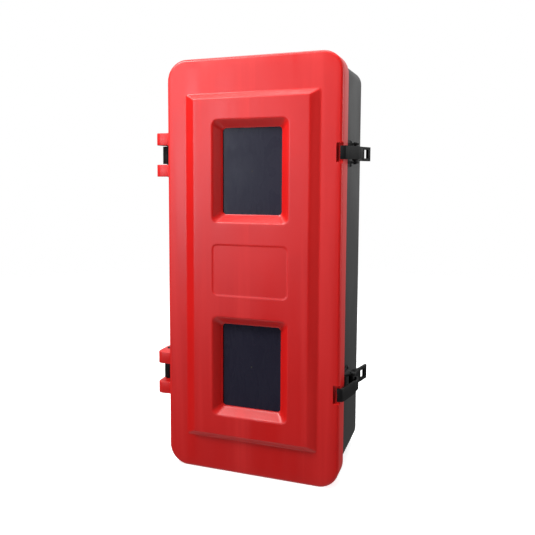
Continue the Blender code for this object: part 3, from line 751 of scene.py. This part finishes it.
def lug_outline():
    """A door lug in plan: straight from the rim's side to a round nose behind the hinge pin."""
    def arc(cx, cy, radius, quarter, steps=6):
        angles = [math.pi / 2 * (quarter + k / steps) for k in range(steps + 1)]
        return [(cx + radius * math.cos(a), cy + radius * math.sin(a)) for a in angles]

    nose_r, front_r = 0.009, 0.011
    root, inner, outer = -DOOR_HALF_X + 0.0012, HINGE_X + LUG_RADIUS, HINGE_X - LUG_RADIUS
    points = [(root, LUG_FRONT + 0.0015), (root, HINGE_Y - 0.004), (inner, HINGE_Y)]
    points += arc(inner - nose_r, LUG_BACK - nose_r, nose_r, 0)
    points += arc(outer + nose_r, LUG_BACK - nose_r, nose_r, 1)
    return points + arc(outer + front_r, LUG_FRONT + front_r, front_r, 2)


def make_lug(level, side):
    z = JOINT_AT[f"{level}_lever_swing"].z + side * LUG_MIDDLE_Z
    name = f"{level}_hinge_lug_{'above' if side > 0 else 'below'}"
    lug = plan_plate(name, lug_outline(), z - LUG_TALL / 2, z + LUG_TALL / 2)
    bore = upright_rod("bore", (HINGE_X, HINGE_Y), z - 2 * PAST, z + 2 * PAST, HINGE_BORE_R)
    return dress(soften(combine(lug, "DIFFERENCE", bore), 0.0012, 3), slot="red_plastic", body="door")


def make_pane(level):
    """A pane with a polished edge, and the small round mark in its middle where the mould was filled."""
    low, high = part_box(f"{level}_window_pane")
    half = ((high[0] - low[0]) / 2, (high[2] - low[2]) / 2)
    z = (high[2] + low[2]) / 2
    pane = rounded_plate(f"{level}_pane", half, 0.008, (low[1], high[1]), 0.0004, z)
    profile = [(0.0, 0.00022), (0.0007, 0.0002), (0.0013, 0.0001), (0.0016, 0.0)]
    profile += [(0.0016, -0.0001), (0.0, -0.0001)]
    gate = turned(f"{level}_pane_gate_mark", profile, (0.0, low[1], z), (0, -1, 0), 20)
    dress(gate, slot="seal_rubber", body="door")
    return dress(pane, f"{level}_window_pane")


def make_seal():
    """The door's seal: a bulb on a flat foot, all the way round."""
    low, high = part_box("door_seal")
    half = ((high[0] - low[0]) / 2, (high[2] - low[2]) / 2)
    bulb_r, bulb_from, bulb_to = 0.0019, 0.0030, high[1] - low[1]
    shoulder = SEAL_FOOT + 0.0004
    profile = [(0.0, 0.0), (0.0, SEAL_FOOT), (0.0010, shoulder)]
    for a in np.linspace(0, math.pi, 9):
        rise = bulb_from + (bulb_to - bulb_from) * math.sin(a)
        profile.append((SEAL_WIDTH / 2 - bulb_r * math.cos(a), rise))
    profile += [(SEAL_WIDTH - 0.0010, shoulder), (SEAL_WIDTH, SEAL_FOOT), (SEAL_WIDTH, 0.0), (0.0, 0.0)]
    rings = []
    for inset, rise in profile:
        outline = rounded_outline((half[0] - inset, half[1] - inset), SEAL_CORNER - inset, CORNER_STEPS)
        rings.append((outline, low[1] + rise))
    return dress(loft("door_seal_bulb", rings, caps=(False, False)), "door_seal")


# --- shell ----------------------------------------------------------------------------------------
def shell_solid(name, inset, front):
    """The shell's outside as a solid, or with inset its inside."""
    half = (SHELL_HALF_X - inset, SHELL_HALF_Z - inset)
    fillet, corner = SHELL_FILLET - inset, SHELL_CORNER - inset
    rings = [(rounded_outline(half, corner, CORNER_STEPS), y) for y in (front, -0.12)]
    for angle in np.linspace(0, math.pi / 2, 11):
        pull = fillet * (1 - math.cos(angle))
        y = -inset - fillet + fillet * math.sin(angle)
        radius = max(corner - pull, 0.007)
        rings.append((rounded_outline((half[0] - pull, half[1] - pull), radius, CORNER_STEPS), y))
    return loft(name, rings)


def notch_boxes(grown):
    """Cutters for the six notches in the rear corners."""
    boxes = []
    for side in (-1, 1):
        for z in (JOINT_AT["lower_lever_swing"].z, 0.0, JOINT_AT["upper_lever_swing"].z):
            x = sorted((side * (NOTCH_FROM_X - grown), side * (SHELL_HALF_X + PAST)))
            tall = NOTCH_HALF_Z + grown
            boxes.append(box_piece("notch", x, (-NOTCH_DEPTH - grown, PAST), (z - tall, z + tall)))
    return boxes


def make_shell():
    shell = combine(shell_solid("shell_moulding", 0.0, SHELL_FRONT), "DIFFERENCE", *notch_boxes(0.0))
    cavity = shell_solid("cavity", WALL, SHELL_FRONT + MOUTH_THICK)
    combine(cavity, "DIFFERENCE", *notch_boxes(WALL))
    mouth_half = (SHELL_HALF_X - MOUTH_MARGIN, SHELL_HALF_Z - MOUTH_MARGIN)
    outline = rounded_outline(mouth_half, SHELL_CORNER - MOUTH_MARGIN, CORNER_STEPS)
    mouth = loft("mouth", [(outline, SHELL_FRONT - PAST), (outline, SHELL_FRONT + PAST)])
    holes = [
        rod_piece("wall_hole", (x, -2 * PAST, z), (x, PAST, z), WALL_HOLE_R)
        for x in (-WALL_HOLE_X, WALL_HOLE_X)
        for z in (-WALL_HOLE_Z, WALL_HOLE_Z)
    ]
    drain = upright_rod("drain", (0, DRAIN_Y), -SHELL_HALF_Z - PAST, -SHELL_HALF_Z + PAST, DRAIN_R)
    combine(shell, "DIFFERENCE", cavity, mouth, *holes, drain)
    return dress(soften(shell, 0.0009, 2, 48), "body_shell")


def make_knuckle(level):
    """The shell's half of a hinge: a barrel round the pin, on an arm."""
    z = JOINT_AT[f"{level}_lever_swing"].z
    low, high = z - KNUCKLE_TALL / 2, z + KNUCKLE_TALL / 2
    barrel = upright_rod(f"{level}_hinge_knuckle", (HINGE_X, HINGE_Y), low, high, KNUCKLE_R, 48)
    root_x, back = -SHELL_HALF_X + 0.0012, HINGE_Y + KNUCKLE_R
    outline = [(HINGE_X, HINGE_Y), (root_x, HINGE_Y + 0.0005), (root_x, back + 0.012), (HINGE_X, back)]
    arm = plan_plate("arm", outline, low + 0.0003, high - 0.0003)
    bore = upright_rod("bore", (HINGE_X, HINGE_Y), low - PAST, high + PAST, HINGE_BORE_R)
    knuckle = combine(combine(barrel, "UNION", arm), "DIFFERENCE", bore)
    return dress(soften(knuckle, 0.0007, 2), slot="latch_plastic", body="root")


# --- hardware -------------------------------------------------------------------------------------
def make_pin(node):
    """A pin with a domed head at its top. A hinge pin has a chamfered tip, and a latch pin a second head."""
    low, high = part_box(node)
    centre = ((low[0] + high[0]) / 2, (low[1] + high[1]) / 2, low[2])
    tall = high[2] - low[2]
    two_heads = "latch" in node
    head_r = (high[0] - low[0]) / 2
    pin_r = head_r / 1.6 if two_heads else HINGE_PIN_R
    head = 0.0012 if two_heads else 0.0030
    profile = [(0.0, tall), (head_r * 0.55, tall - head * 0.08), (head_r * 0.88, tall - head * 0.35)]
    profile += [(head_r, tall - head * 0.72), (head_r, tall - head), (pin_r, tall - head)]
    if two_heads:
        profile += [(pin_r, head), (head_r, head), (head_r, head * 0.3), (head_r * 0.8, 0.0), (0.0, 0.0)]
    else:
        profile += [(pin_r, 0.0008), (pin_r * 0.72, 0.0), (0.0, 0.0)]
    return dress(turned(f"{node}_turned", profile, centre, (0, 0, 1)), node)


def make_screw(node):
    """A pan-head screw with a cross recess and a threaded shank."""
    low, high = (Vector(corner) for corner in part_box(node))
    centre, size = (low + high) / 2, high - low
    facing = Vector((1, 0, 0)) if "bracket" in node else Vector((0, 1 if "retainer" in node else -1, 0))
    length = abs(size.dot(facing))
    head_r, head = 0.0032, 0.0017
    crest, root, pitch = 0.0016, 0.00115, 0.0008
    recess = Matrix.Diagonal((0.0036, 0.0007, 0.0020, 1))
    shank = length - head
    seat = centre + facing * (length / 2 - head)
    profile = [(0.0, head), (head_r * 0.5, head * 0.95), (head_r * 0.86, head * 0.68), (head_r, head * 0.25)]
    profile += [(head_r, 0.0), (crest, 0.0)]
    turns = max(4, round(shank / pitch))
    for k in range(turns):
        top = -shank * (k + 0.2) / turns
        profile += [(crest, top), (root, top - 0.45 * shank / turns)]
    profile += [(0.0006, -shank + 0.0002), (0.0, -shank)]
    screw = turned(f"{node}_turned", profile, seat, facing, 24)
    place = Matrix.Translation(seat + facing * head) @ facing_along(facing)
    arms = []
    for turn in (0.0, math.pi / 2):
        bm = bmesh.new()
        spin = Matrix.Rotation(turn + 0.4, 4, "Z")
        bmesh.ops.create_cube(bm, size=1.0, matrix=place @ spin @ recess)
        arms.append(as_piece("arm", bm))
    return dress(combine(screw, "DIFFERENCE", *arms), node)


def make_washer(node):
    low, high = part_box(node)
    centre = ((low[0] + high[0]) / 2, low[1], (low[2] + high[2]) / 2)
    tall, radius = high[1] - low[1], (high[0] - low[0]) / 2
    rim, hole_rim = 0.0003, 0.0002
    profile = [(WALL_HOLE_R + hole_rim, 0.0), (radius - rim, 0.0), (radius, rim), (radius, tall - rim)]
    profile += [(radius - rim, tall), (WALL_HOLE_R + hole_rim, tall), (WALL_HOLE_R, tall - hole_rim)]
    profile += [(WALL_HOLE_R, hole_rim), (WALL_HOLE_R + hole_rim, 0.0)]
    return dress(turned(f"{node}_pressed", profile, centre, (0, 1, 0), 48), node)


# --- latches --------------------------------------------------------------------------------------
def latch_bore(at, radius):
    return upright_rod("bore", at, at.z - 2 * PAST, at.z + 2 * PAST, radius)


def make_lever(level):
    """A latch's lever: a barrel on the pivot pin, two cheeks for the link pin, and the slotted tail."""
    pivot, link = JOINT_AT[f"{level}_lever_swing"], JOINT_AT[f"{level}_hook_swing"]
    z, half, fork = pivot.z, LATCH_TALL / 2, FORK_GAP / 2
    lever = upright_rod(f"{level}_lever", pivot, z - half, z + half, PIVOT_R)
    cheek = ribbon(smooth_line([tuple(pivot[:2]), tuple(link[:2]), *CHEEK_END]), 2 * PIVOT_R, 8)
    cheeks = [
        plan_plate("cheek", cheek, z + fork, z + half - 0.0001),
        plan_plate("cheek", cheek, z - half + 0.0001, z - fork),
    ]
    tail = plan_plate("tail", ribbon(smooth_line(TAIL), TAIL_THICK, 6), z - half, z + half)
    along = (Vector(TAIL[-1]) - Vector(TAIL[-2])).normalized()
    place = Matrix.Translation((*TAIL_SLOT_AT, z)) @ Matrix.Rotation(-math.atan2(along.x, along.y), 4, "Z")
    slot = box_piece("slot", (-0.005, 0.005), *[(-s / 2, s / 2) for s in TAIL_SLOT])
    slot.data.transform(place)
    combine(tail, "DIFFERENCE", slot)
    combine(lever, "UNION", *cheeks, tail)
    combine(lever, "DIFFERENCE", latch_bore(pivot, PIVOT_BORE_R), latch_bore(link, LINK_BORE_R))
    return dress(soften(lever, 0.0006, 2, 40), f"{level}_latch_lever")


def make_hook(level):
    """A latch's hook: a lip and strap as tall as the pocket takes, and a narrower neck between the cheeks."""
    link = JOINT_AT[f"{level}_hook_swing"]
    z, half, tongue = link.z, HOOK_TALL / 2, TONGUE_TALL / 2
    line = smooth_line([*HOOK_LIP, *HOOK_STRAP, *HOOK_NECK, tuple(link[:2])])
    split = SPAN_STEPS * (len(HOOK_LIP) + len(HOOK_STRAP))
    hook = plan_plate(f"{level}_hook", ribbon(line[: split + 1], STRAP_THICK), z - half, z + half)
    neck = plan_plate("neck", ribbon(line[split - 4:], STRAP_THICK * 0.98), z - tongue, z + tongue)
    barrel = upright_rod("barrel", link, z - tongue - 0.0001, z + tongue + 0.0001, LINK_R, 32)
    combine(hook, "UNION", neck, barrel)
    combine(hook, "DIFFERENCE", latch_bore(link, LINK_BORE_R))
    return dress(soften(hook, 0.0006, 2, 40), f"{level}_latch_hook")


# --- studio ---------------------------------------------------------------------------------------
def make_floor():
    """A wide pale floor that takes the cabinet's shadow and fades into the background."""
    look = Look("studio_floor", IOR=1.45, Specular_IOR_Level=0.2, Emission_Strength=0.62)
    look.shader.inputs["Emission Color"].default_value = (1.0, 1.0, 1.0, 1.0)
    speckle = look.noise(3.0, 4.0)
    base = look.colours(speckle, (0.3, (0.86, 0.86, 0.86)), (0.7, (0.89, 0.89, 0.89)))
    look.finish(base, look.ranged(speckle, 0.3, 0.7, 0.7, 0.8), speckle, 0.01)
    look.fade_out(0.9, 2.6)
    bm = bmesh.new()
    bmesh.ops.create_circle(bm, cap_ends=True, segments=64, radius=14.0)
    floor = as_piece("floor", bm)
    floor.location.z = CAD_BOX[0][2]
    floor.data.materials.append(look.material)
    floor.visible_glossy = False
    floor.visible_diffuse = False


def make_world():
    """White to the camera. As light it is bright behind, dim in front, and a pale floor's glow from below."""
    world = bpy.data.worlds.new("studio")
    bpy.context.scene.world = world
    world.use_nodes = True
    world.node_tree.nodes.clear()
    sky = Nodes(world.node_tree)
    direction = sky.node("ShaderNodeSeparateXYZ")
    sky.link(sky.node("ShaderNodeTexCoord").outputs["Generated"], direction.inputs[0])
    height = sky.ranged(direction.outputs["Z"], -0.35, 0.30, 0.12, 1.0)
    behind = sky.ranged(direction.outputs["Y"], -0.30, 0.45, 0.08, 1.0)
    glow = sky.ranged(direction.outputs["Z"], -0.95, -0.35, 1.1, 0.0)
    level = sky.maths("ADD", sky.maths("MULTIPLY", height, behind), glow)
    lit = sky.node("ShaderNodeBackground")
    sky.link(level, lit.inputs["Strength"])
    seen = sky.node("ShaderNodeBackground")
    seen.inputs["Color"].default_value = (1.0, 1.0, 1.0, 1.0)
    seen.inputs["Strength"].default_value = 1.0
    mix = sky.node("ShaderNodeMixShader")
    sky.link(sky.node("ShaderNodeLightPath").outputs["Is Camera Ray"], mix.inputs[0])
    sky.link(lit.outputs[0], mix.inputs[1])
    sky.link(seen.outputs[0], mix.inputs[2])
    sky.link(mix.outputs[0], sky.node("ShaderNodeOutputWorld").inputs["Surface"])


COOL = (0.84, 0.91, 1.0)


def soft_light(name, at, toward, size, watts, colour=(1.0, 1.0, 1.0)):
    light = bpy.data.lights.new(name, "AREA")
    light.shape = "RECTANGLE"
    light.size, light.size_y = size
    light.energy = watts
    light.color = colour
    made = bpy.data.objects.new(name, light)
    made.location = at
    made.rotation_euler = (Vector(toward) - Vector(at)).to_track_quat("-Z", "Y").to_euler()
    bpy.context.scene.collection.objects.link(made)


def make_camera():
    """To the right of the door and a little above its middle, turned back towards it."""
    yaw, pitch, roll = (math.radians(a) for a in (22.38, 5.11, -0.21))
    ahead = Vector((-math.sin(yaw) * math.cos(pitch), math.cos(yaw) * math.cos(pitch), -math.sin(pitch)))
    right = Vector((math.cos(yaw), math.sin(yaw), 0.0))
    up = right.cross(ahead)
    tilted = right * math.cos(roll) + up * math.sin(roll)
    up = tilted.cross(ahead)
    data = bpy.data.cameras.new("camera")
    data.lens, data.sensor_width = 45.82, 36.0      # mm
    data.shift_x, data.shift_y = 0.1247, -0.0636
    camera = bpy.data.objects.new("camera", data)
    turn = Matrix((tilted, up, -ahead)).transposed().to_4x4()
    camera.matrix_world = Matrix.Translation((0.376, -1.3945, 0.175)) @ turn
    bpy.context.scene.collection.objects.link(camera)
    bpy.context.scene.camera = camera


bpy.context.scene.view_settings.view_transform = "Standard"
make_camera()
make_world()
make_floor()
soft_light("key", at=(-0.75, -1.00, 1.20), toward=(0.0, -0.20, 1.20), size=(0.7, 0.5), watts=40)
soft_light("sheen", at=(-1.20, -2.55, 0.30), toward=(0.0, -0.25, 0.30), size=(0.6, 0.8), watts=24, colour=COOL)
soft_light("top", at=(-0.10, -0.25, 2.20), toward=(0.0, -0.10, 0.0), size=(1.4, 1.0), watts=40)
soft_light("side", at=(2.00, -0.15, 0.50), toward=(0.15, -0.15, 0.05), size=(1.0, 1.2), watts=19)

make_door_panel()
make_seal()
make_shell()
for level in LEVELS:
    make_keeper(level)
    make_pane(level)
    make_knuckle(level)
    make_lever(level)
    make_hook(level)
    for side in (-1, 1):
        make_lug(level, side)
    for node in (f"{level}_latch_bracket", f"{level}_pane_retainer", f"{level}_cradle"):
        refined(node, 0.0005)
refined("base_rest", 0.001)
for node in frame["nodes"]:
    if node.endswith("_pin"):
        make_pin(node)
    elif "screw" in node:
        make_screw(node)
    elif "washer" in node:
        make_washer(node)
